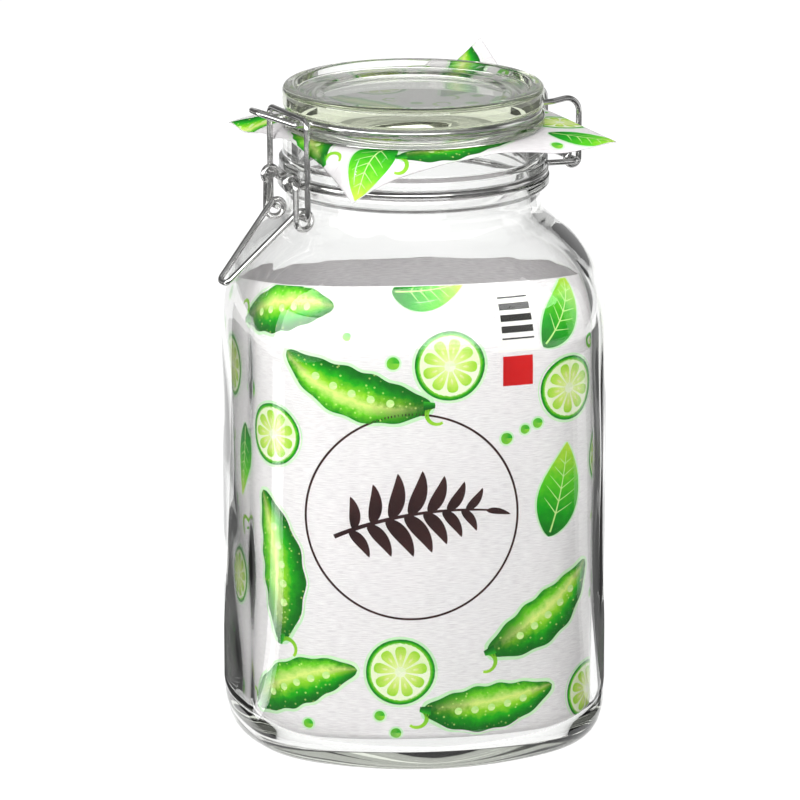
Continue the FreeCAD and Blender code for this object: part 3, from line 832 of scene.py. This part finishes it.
def pod(pr, c, length=56.0, width=7.0, heading=0.0, bend=0.7, flip=1, beans=5, base=0.0):
    """A plump bean pod with a curled stem."""
    path = arc_path(c, length, heading, bend * flip)

    def w(s, k=1.0, grow=0.0):
        e = max(0.0, math.sin(math.pi * min(1.0, max(0.0, s)))) ** 0.5
        taper = 1.0 - 0.22 * (s - 0.42) ** 2 * 4
        return (width * e * taper * (1.0 + 0.05 * math.cos(2 * math.pi * beans * s)) + grow) * k

    pr.ribbon("halo", lambda s: path(-0.02 + 1.04 * s), lambda s: w(s, 1.0, 1.1) if 0.0 < s < 1.0 else 0.4, base + L1, 60, 4)
    pr.ribbon("pod", path, lambda s: w(s), base + L2, 60, 10)
    for k in range(beans):
        s0 = 0.2 + 0.62 * (k + 0.5) / beans
        p = path(s0)
        pr.disc("vein", p, 0.0, width * 0.16, base + L3, n=14, m=1)
    # curled stem
    p0, p1 = np.array(path(0.02)), np.array(path(0.06))
    d = (p0 - p1) / np.linalg.norm(p0 - p1)
    side = np.array([-d[1], d[0]]) * flip

    def stem(s):
        turn = 3.6 * s
        r = 4.6 * (1.0 - 0.55 * s)
        cen = p0 + d * 2.0 + side * 4.6
        a = math.atan2(-side[1], -side[0]) - flip * turn
        return tuple(cen + r * np.array([math.cos(a), math.sin(a)]) + d * 2.0 * s)
    pr.ribbon("podtip", lambda s: tuple(p0 - d * 2.0 + d * 4.2 * s), lambda s: 1.7 - 0.7 * s, base + L3, 8, 2)
    pr.ribbon("stem", stem, lambda s: 0.95 - 0.45 * s, base + L2, 30, 2)


def slice_(pr, c, r=12.0, turn=0.0, base=0.0, parts=9):
    """A cut citrus round: rind, pith and wedges."""
    pr.disc("halo", c, 0.0, r + 1.0, base + L1, m=2, wob=0.006, seed=turn)
    pr.disc("rind", c, r * 0.86, r, base + L2, m=2, wob=0.006, seed=turn)
    pr.disc("pith", c, 0.0, r * 0.88, base + L2, m=3)
    for k in range(parts):
        a0 = turn + 2 * math.pi * (k + 0.10) / parts
        a1 = turn + 2 * math.pi * (k + 0.90) / parts
        am = 0.5 * (a0 + a1)
        m, n = 6, 8
        pts = np.zeros((m + 1, n + 1, 2))
        att = np.zeros((m + 1, n + 1, 2))
        for i in range(m + 1):
            f = i / m
            rr = r * (0.16 + 0.62 * f)
            for j in range(n + 1):
                g = -1.0 + 2.0 * j / n
                edge = 1.0 - 0.35 * (f ** 8)
                a = am + 0.5 * (a1 - a0) * g * edge
                rq = rr * (1.0 - 0.05 * g * g * f)
                pts[i, j] = (c[0] + rq * math.cos(a), c[1] + rq * math.sin(a))
                att[i, j] = (j / n, f)
        pr.grid("flesh", pts, att, base + L3)
        ps = (c[0] + r * 0.46 * math.cos(am), c[1] + r * 0.46 * math.sin(am))
        pr.ribbon("seed", lambda s, ps=ps, am=am: (ps[0] + (s - 0.5) * 2.4 * math.cos(am), ps[1] + (s - 0.5) * 2.4 * math.sin(am)),
                  lambda s: 0.42 * math.sin(math.pi * s) ** 0.6, base + L4, 8, 2)


def leaf(pr, c, length=30.0, width=6.5, heading=0.0, bend=0.3, base=0.0):
    path = arc_path(c, length, heading, bend)

    def w(s, grow=0.0):
        s = min(1.0, max(0.0, s))
        return width * math.sin(math.pi * s ** 0.8) ** 0.9 + grow
    pr.ribbon("halo", path, lambda s: w(s, 0.8), base + L1, 36, 4)
    pr.ribbon("leaf", path, lambda s: w(s), base + L2, 36, 6)
    pr.ribbon("vein", lambda s: path(0.05 + 0.85 * s), lambda s: 0.35 * (1.0 - 0.7 * s), base + L3, 24, 1)
    for k in range(1, 6):
        s0 = 0.12 + 0.13 * k
        for sg in (-1, 1):
            p = np.array(path(s0))
            q = np.array(path(s0 + 0.02))
            t = (q - p) / np.linalg.norm(q - p)
            nr = np.array([-t[1], t[0]]) * sg
            ww = w(s0 + 0.08) * 0.72
            pr.ribbon("vein", lambda s, p=p, t=t, nr=nr, ww=ww: tuple(p + nr * ww * s + t * (ww * 0.8 * s)),
                      lambda s: 0.22 * (1.0 - 0.8 * s), base + L3, 6, 1)


def tendril(pr, c, size=5.0, turn=0.0, base=0.0):
    def at(s):
        a = turn + 5.2 * s
        r = size * (0.18 + 0.82 * s)
        return (c[0] + r * math.cos(a), c[1] + r * math.sin(a))
    pr.ribbon("stem", at, lambda s: 0.45 + 0.45 * s if s < 0.95 else 0.5, base + L2, 36, 2)


def dot(pr, c, r=2.2, base=0.0):
    pr.disc("halo", c, 0.0, r + 0.7, base + L1, n=20, m=1)
    pr.disc("dot", c, 0.0, r, base + L2, n=20, m=2, wob=0.02, seed=c[0])


def ringlet(pr, c, r=3.2, base=0.0):
    pr.disc("dot", c, r * 0.55, r, base + L2, n=24, m=1, wob=0.02, seed=c[1])
    pr.disc("seed", c, 0.0, r * 0.3, base + L2, n=12, m=1)


def stripe(pr, ink, x0, x1, y0, y1, lift):
    nx = max(1, int((x1 - x0) / 1.5))
    pts = np.zeros((2, nx + 1, 2))
    att = np.zeros((2, nx + 1, 2))
    for i, y in enumerate((y0, y1)):
        for j in range(nx + 1):
            pts[i, j] = (x0 + (x1 - x0) * j / nx, y)
            att[i, j] = (j / nx, i)
    pr.grid(ink, pts, att, lift)


def panel(pr, ink, x0, x1, y0, y1, lift):
    ny = max(1, int((y1 - y0) / 1.5))
    for k in range(ny):
        stripe(pr, ink, x0, x1, y0 + (y1 - y0) * k / ny, y0 + (y1 - y0) * (k + 1) / ny, lift)


def touches(shape, taken):
    for x, y, r in shape:
        for a, b, s in taken:
            if math.hypot(x - a, y - b) < r + s:
                return True
    return False


def circles_of_pod(c, length, width, heading, bend, grow=2.0):
    path = arc_path(c, length, heading, bend)
    return [path(s) + (width + grow,) for s in (0.02, 0.2, 0.4, 0.6, 0.8, 0.97)]


sp = Print("sleeve_print", sleeve_place, 0.25, SLEEVE_INKS)
RING = (-8.5, 97.5)
RING_R = 38.8

# ring and sprig in brown ink
for k in range(24):
    a0 = 2 * math.pi * k / 24
    sp.disc("brown", RING, RING_R - 0.42, RING_R + 0.42, L2, a0, a0 + 2 * math.pi / 24, n=8, m=1)


def sprig(pr, c):
    """A plain sprig of narrow leaves on a bowed stem."""
    path = arc_path(c, 58.0, 0.16, -0.55)
    pr.ribbon("brown", path, lambda s: 0.85 - 0.5 * s, L2, 50, 2)
    for k in range(7):
        s0 = 0.10 + 0.12 * k
        for sg in (-1, 1):
            p = np.array(path(s0 + (0.03 if sg > 0 else 0.0)))
            q = np.array(path(s0 + 0.03 + (0.03 if sg > 0 else 0.0)))
            t = (q - p) / np.linalg.norm(q - p)
            ang = math.atan2(t[1], t[0]) + sg * (0.95 - 0.06 * k)
            ln = 18.5 * (1.0 - 0.55 * abs(s0 - 0.40) / 0.5)
            pr.ribbon("brown", lambda s, p=p, ang=ang, ln=ln, sg=sg: (p[0] + ln * s * math.cos(ang + 0.35 * sg * s),
                                                                      p[1] + ln * s * math.sin(ang + 0.35 * sg * s)),
                      lambda s, ln=ln: 0.155 * ln * max(0.0, math.sin(math.pi * s ** 0.75)) ** 0.8 + 0.12, L2, 16, 2)
    p = np.array(path(1.0))
    pr.ribbon("brown", lambda s: (p[0] - 1.0 + 9.0 * s, p[1] - 0.2 - 2.0 * s * s),
              lambda s: 1.1 * max(0.0, math.sin(math.pi * s ** 0.7)) ** 0.8 + 0.1, L2, 12, 2)


sprig(sp, (RING[0] - 0.5, RING[1] - 1.0))

# small pale label with plain bars and a red square
LX, LY = 23.0, 158.0
panel(sp, "cream", LX, LX + 15.5, LY, LY + 21.0, L3)
stripe(sp, "dark", LX + 1.6, LX + 13.9, LY + 18.9, LY + 19.5, L4)
for y in (17.2, 13.2, 9.2):
    stripe(sp, "dark", LX + 1.6, LX + 13.9, LY + y - 2.4, LY + y, L4)
stripe(sp, "dark", LX + 1.6, LX + 13.9, LY + 4.4, LY + 5.0, L4)
panel(sp, "red", LX + 1.6, LX + 13.0, LY - 12.6, LY - 1.6, L3)

taken = [(RING[0], RING[1], RING_R + 1.5), (LX + 7.7, LY + 14.0, 12.0), (LX + 7.5, LY - 5.0, 11.5)]
rng = random.Random(20)
front = [
    ("pod", (-29.0, 146.5), 58.0, 9.2, 2.80, -0.75),
    ("slice", (5.0, 154.0), 12.8, 0.3),
    ("pod", (-60.0, 76.0), 58.0, 9.4, 1.72, 0.7),
    ("pod", (41.0, 58.0), 52.0, 9.0, 0.62, 0.6),
    ("slice", (-13.0, 38.5), 12.6, 1.2),
    ("pod", (-51.0, 31.0), 48.0, 8.8, 0.42, -0.6),
    ("slice", (-61.0, 126.0), 11.5, 0.7),
    ("leaf", (47.0, 104.0), 36.0, 9.0, 1.35, 0.3),
    ("pod", (20.0, 25.0), 50.0, 8.8, 0.12, 0.55),
    ("slice", (51.0, 142.0), 12.0, 0.1),
    ("leaf", (-2.0, 182.0), 30.0, 7.5, 0.1, 0.3),
    ("pod", (-60.0, 171.0), 44.0, 8.2, 0.25, -0.5),
    ("leaf", (50.0, 170.0), 30.0, 7.0, 0.9, 0.3),
    ("slice", (62.0, 24.0), 11.0, 0.4),
]
for it in front:
    if it[0] == "pod":
        _, c, ln, w, hd, bd = it
        pod(sp, c, ln, w, hd, abs(bd), 1 if bd > 0 else -1)
        taken += circles_of_pod(c, ln, w, hd, bd)
    elif it[0] == "slice":
        slice_(sp, it[1], it[2], it[3])
        taken.append(it[1] + (it[2] + 2.0,))
    else:
        _, c, ln, w, hd, bd = it
        leaf(sp, c, ln, w, hd, bd)
        taken += circles_of_pod(c, ln, w * 0.8, hd, bd)


def fill(pr, taken, u0, u1, v0, v1, counts, wrap=None):
    for kind, count in counts:
        tries = 0
        made = 0
        while made < count and tries < 400:
            tries += 1
            c = (rng.uniform(u0, u1), rng.uniform(v0, v1))
            hd, bd = rng.uniform(0, 2 * math.pi), rng.choice((-1, 1)) * rng.uniform(0.4, 0.9)
            if kind == "pod":
                ln, w = rng.uniform(46, 56), rng.uniform(6.8, 7.8)
                sh = circles_of_pod(c, ln, w, hd, bd, 1.6)
            elif kind == "slice":
                w = rng.uniform(9.5, 12.5)
                sh = [c + (w + 1.8,)]
            elif kind == "leaf":
                ln, w = rng.uniform(22, 32), rng.uniform(5.0, 7.0)
                sh = circles_of_pod(c, ln, w * 0.8, hd, bd * 0.6, 1.2)
            elif kind == "tendril":
                w = rng.uniform(3.5, 5.5)
                sh = [c + (w + 0.8,)]
            elif kind == "ringlet":
                w = rng.uniform(2.4, 3.6)
                sh = [c + (w + 0.8,)]
            else:
                w = rng.uniform(1.4, 2.8)
                sh = [c + (w + 0.8,)]
            test = taken
            if wrap:
                test = taken + [(x + wrap, y, r) for x, y, r in taken if x < u0 + 60] \
                    + [(x - wrap, y, r) for x, y, r in taken if x > u1 - 60]
            if touches(sh, test):
                continue
            taken += sh
            made += 1
            if kind == "pod":
                pod(pr, c, ln, w, hd, abs(bd), 1 if bd > 0 else -1)
            elif kind == "slice":
                slice_(pr, c, w, hd)
            elif kind == "leaf":
                leaf(pr, c, ln, w, hd, bd * 0.6)
            elif kind == "tendril":
                tendril(pr, c, w, hd)
            elif kind == "ringlet":
                ringlet(pr, c, w)
            else:
                dot(pr, c, w)


fill(sp, taken, -HALF_ROUND, HALF_ROUND, 12.0, 182.0,
     [("pod", 16), ("slice", 16), ("leaf", 16), ("tendril", 16), ("ringlet", 14), ("dot", 46)], 2 * HALF_ROUND)
sp.build("jar")

# the cover print takes the half-bright inks, which is painted shade
cp = Print("cover_print", cover_place, 0.25, COVER_INKS_PAINTED_SHADE)
cp_base = 0.30
taken = []
corner_items = [
    ("pod", (-46.0, 36.0), 50.0, 7.2, 2.2, -0.6),
    ("pod", (36.0, 40.0), 46.0, 7.2, 0.9, 0.6),
    ("leaf", (-40.0, -44.0), 34.0, 8.0, 3.8, 0.3),
    ("pod", (-6.0, -45.0), 48.0, 6.8, 0.1, 0.5),
    ("slice", (48.0, -20.0), 10.5, 0.4),
    ("leaf", (46.0, -46.0), 30.0, 7.0, 5.5, 0.3),
    ("slice", (-26.0, -22.0), 11.0, 0.9),
    ("pod", (-48.0, -8.0), 40.0, 6.8, 1.4, 0.5),
    ("slice", (4.0, 46.0), 11.0, 0.2),
]
for it in corner_items:
    if it[0] == "pod":
        _, c, ln, w, hd, bd = it
        pod(cp, c, ln, w, hd, abs(bd), 1 if bd > 0 else -1, base=cp_base)
        taken += circles_of_pod(c, ln, w, hd, bd)
    elif it[0] == "slice":
        slice_(cp, it[1], it[2], it[3], cp_base)
        taken.append(it[1] + (it[2] + 2.0,))
    else:
        _, c, ln, w, hd, bd = it
        leaf(cp, c, ln, w, hd, bd, cp_base)
        taken += circles_of_pod(c, ln, w * 0.8, hd, bd)


class Lifted:
    """The cover print with every shape raised onto the sheet's upper face."""

    def __init__(self, pr, base):
        self.pr, self.base = pr, base

    def ribbon(self, ink, path, width, lift, *a, **k):
        self.pr.ribbon(ink, path, width, lift + self.base, *a, **k)

    def disc(self, ink, c, r0, r1, lift, *a, **k):
        self.pr.disc(ink, c, r0, r1, lift + self.base, *a, **k)

    def grid(self, ink, pts, att, lift):
        self.pr.grid(ink, pts, att, lift + self.base)


fill(Lifted(cp, cp_base), taken, -52.0, 52.0, -52.0, 52.0,
     [("pod", 2), ("slice", 2), ("leaf", 3), ("tendril", 5), ("ringlet", 5), ("dot", 14)])
cp.build("jar")


# ------------------------------------------------------------------ camera
AZ = math.radians(-27.0)
PITCH = math.radians(14.86)
CAM = Vector((2.0 * math.sin(AZ), -2.0 * math.cos(AZ), 0.6543))
cam_data = bpy.data.cameras.new("camera")
cam = bpy.data.objects.new("camera", cam_data)
bpy.context.scene.collection.objects.link(cam)
cam.location = CAM
cam.rotation_euler = (math.pi / 2 - PITCH, 0.0, AZ)
cam_data.sensor_width = 36.0
cam_data.lens = 5511.0 * 36.0 / 800.0
cam_data.shift_x = -13.3 / 800.0
cam_data.clip_start = 0.05
cam_data.clip_end = 60.0
bpy.context.scene.camera = cam
VIEW = Vector((-math.sin(AZ), math.cos(AZ), 0.0))      # level heading of the camera's look
RIGHT = Vector((math.cos(AZ), math.sin(AZ), 0.0))


# ------------------------------------------------------------------ studio
def stage_material(name, color, glow, diffuse=True):
    m = bpy.data.materials.new(name)
    m.use_nodes = True
    nt = m.node_tree
    for n in list(nt.nodes):
        nt.nodes.remove(n)
    out = nt.nodes.new("ShaderNodeOutputMaterial")
    em = nt.nodes.new("ShaderNodeEmission")
    em.inputs["Color"].default_value = tuple(color) + (1.0,)
    em.inputs["Strength"].default_value = glow
    if diffuse:
        df = nt.nodes.new("ShaderNodeBsdfDiffuse")
        df.inputs["Color"].default_value = (diffuse, diffuse, diffuse, 1.0)
        add = nt.nodes.new("ShaderNodeAddShader")
        nt.links.new(em.outputs[0], add.inputs[0])
        nt.links.new(df.outputs[0], add.inputs[1])
        nt.links.new(add.outputs[0], out.inputs["Surface"])
    else:
        nt.links.new(em.outputs[0], out.inputs["Surface"])
    return m


floor_mat = stage_material("floor_white", (1, 1, 1), 0.97, 0.12)
s = 3.0
floor = new_object("floor", [(-s, -s, -0.0002), (s, -s, -0.0002), (s, s, -0.0002), (-s, s, -0.0002)],
                   [(0, 1, 2, 3)], floor_mat, smooth_it=False)


def sector(name, a0, a1, r0, r1, z, mat):
    """A flat sector of a ring on the floor round the jar, headings in degrees, seen only in the glass."""
    n = max(2, int(abs(a1 - a0) / 3))
    vs, fs = [], []
    for i in range(n + 1):
        a = math.radians(a0 + (a1 - a0) * i / n)
        for r in (r0, r1):
            vs.append((r * math.sin(a), -r * math.cos(a), z))
    for i in range(n):
        fs.append((2 * i, 2 * i + 1, 2 * i + 3, 2 * i + 2))
    ob = new_object(name, vs, fs, mat, smooth_it=False)
    ob.visible_camera = False
    ob.visible_shadow = False
    return ob


dark = stage_material("card_dark", (1, 1, 1), 0.10, False)
strip = stage_material("card_strip", (1, 1, 1), 3.2, False)
side = stage_material("card_side", (1, 1, 1), 1.1, False)
panel_light = stage_material("panel_left_light", (1, 1, 1), 4.8, False)
# a dark table round the front and sides, with a lit strip at each side that the corners reflect
sector("table_dark", -172.0, 119.0, 0.088, 1.3, 0.0004, dark)
sector("strip_left", -107.0, -96.0, 0.10, 0.75, 0.0008, strip)
sector("strip_right", 60.0, 82.0, 0.10, 0.75, 0.0008, side)


def wall(name, a0, a1, r, z0, z1, mat):
    """An upright curved light panel round the jar, headings in degrees, seen only in the glass and steel."""
    n = max(2, int(abs(a1 - a0) / 4))
    vs, fs = [], []
    for i in range(n + 1):
        a = math.radians(a0 + (a1 - a0) * i / n)
        for z in (z0, z1):
            vs.append((r * math.sin(a), -r * math.cos(a), z))
    for i in range(n):
        fs.append((2 * i, 2 * i + 1, 2 * i + 3, 2 * i + 2))
    ob = new_object(name, vs, fs, mat, smooth_it=False)
    ob.visible_camera = False
    return ob


wall("panel_left", -107.0, 4.0, 1.1, 0.13, 0.64, panel_light)
wall("panel_right", 58.0, 86.0, 1.1, 0.05, 0.85, side)
# a high front fill for the paper, kept out of the reflections
fill_light = stage_material("panel_high_light", (1, 1, 1), 4.6, False)
wall("panel_high", -107.0, 60.0, 1.1, 0.66, 2.0, fill_light).visible_glossy = False


def soft_light(name, pos, target, w, h, power, color=(1, 1, 1)):
    d = bpy.data.lights.new(name, "AREA")
    d.shape = "RECTANGLE"
    d.size, d.size_y = w, h
    d.energy = power
    d.color = color
    ob = bpy.data.objects.new(name, d)
    bpy.context.scene.collection.objects.link(ob)
    ob.location = pos
    ob.rotation_euler = (Vector(target) - Vector(pos)).to_track_quat("-Z", "Y").to_euler()
    return ob


CEN = Vector((0, 0, 0.12))
top = soft_light("top", CEN + Vector((0, 0, 1.6)) + VIEW * 0.3, CEN, 0.9, 0.9, 9.0)
top.visible_glossy = False
top.visible_transmission = False
# a grey ceiling for the lid to look at
ceiling_mat = stage_material("ceiling_grey", (1, 1, 1), 0.42, False)
ceiling = new_object("ceiling", [(-1.0, -1.0, 2.1), (1.0, -1.0, 2.1), (1.0, 1.0, 2.1), (-1.0, 1.0, 2.1)],
                     [(0, 1, 2, 3)], ceiling_mat, smooth_it=False)
ceiling.visible_camera = False

# world: white behind the object, dark at both sides, dim grey behind the camera
world = bpy.data.worlds.new("studio")
bpy.context.scene.world = world
world.use_nodes = True
wt = world.node_tree
for n in list(wt.nodes):
    wt.nodes.remove(n)
wo = wt.nodes.new("ShaderNodeOutputWorld")
bg = wt.nodes.new("ShaderNodeBackground")
tcw = wt.nodes.new("ShaderNodeTexCoord")
dotn = wt.nodes.new("ShaderNodeVectorMath")
dotn.operation = "DOT_PRODUCT"
dotn.inputs[1].default_value = tuple(VIEW)
wt.links.new(tcw.outputs["Generated"], dotn.inputs[0])
mr = wt.nodes.new("ShaderNodeMapRange")
mr.inputs["From Min"].default_value = -1.0
mr.inputs["From Max"].default_value = 1.0
wt.links.new(dotn.outputs["Value"], mr.inputs["Value"])
wr = ramp(wt, [(0.0, (0.45, 0.45, 0.45)), (0.22, (0.36, 0.36, 0.36)), (0.36, (0.13, 0.13, 0.13)),
               (0.88, (0.13, 0.13, 0.13)), (0.95, (0.50, 0.50, 0.50)), (0.97, (0.55, 0.55, 0.55))])
wt.links.new(mr.outputs[0], wr.inputs[0])
wt.links.new(wr.outputs[0], bg.inputs["Color"])
bg.inputs["Strength"].default_value = 1.0
wt.links.new(bg.outputs[0], wo.inputs["Surface"])

scene = bpy.context.scene
scene.view_settings.view_transform = "Standard"
scene.view_settings.look = "None"
scene.view_settings.exposure = 0.0
scene.view_settings.gamma = 1.0
scene.cycles.max_bounces = 18
scene.cycles.transmission_bounces = 16
scene.cycles.glossy_bounces = 8
scene.cycles.diffuse_bounces = 4
scene.cycles.transparent_max_bounces = 16
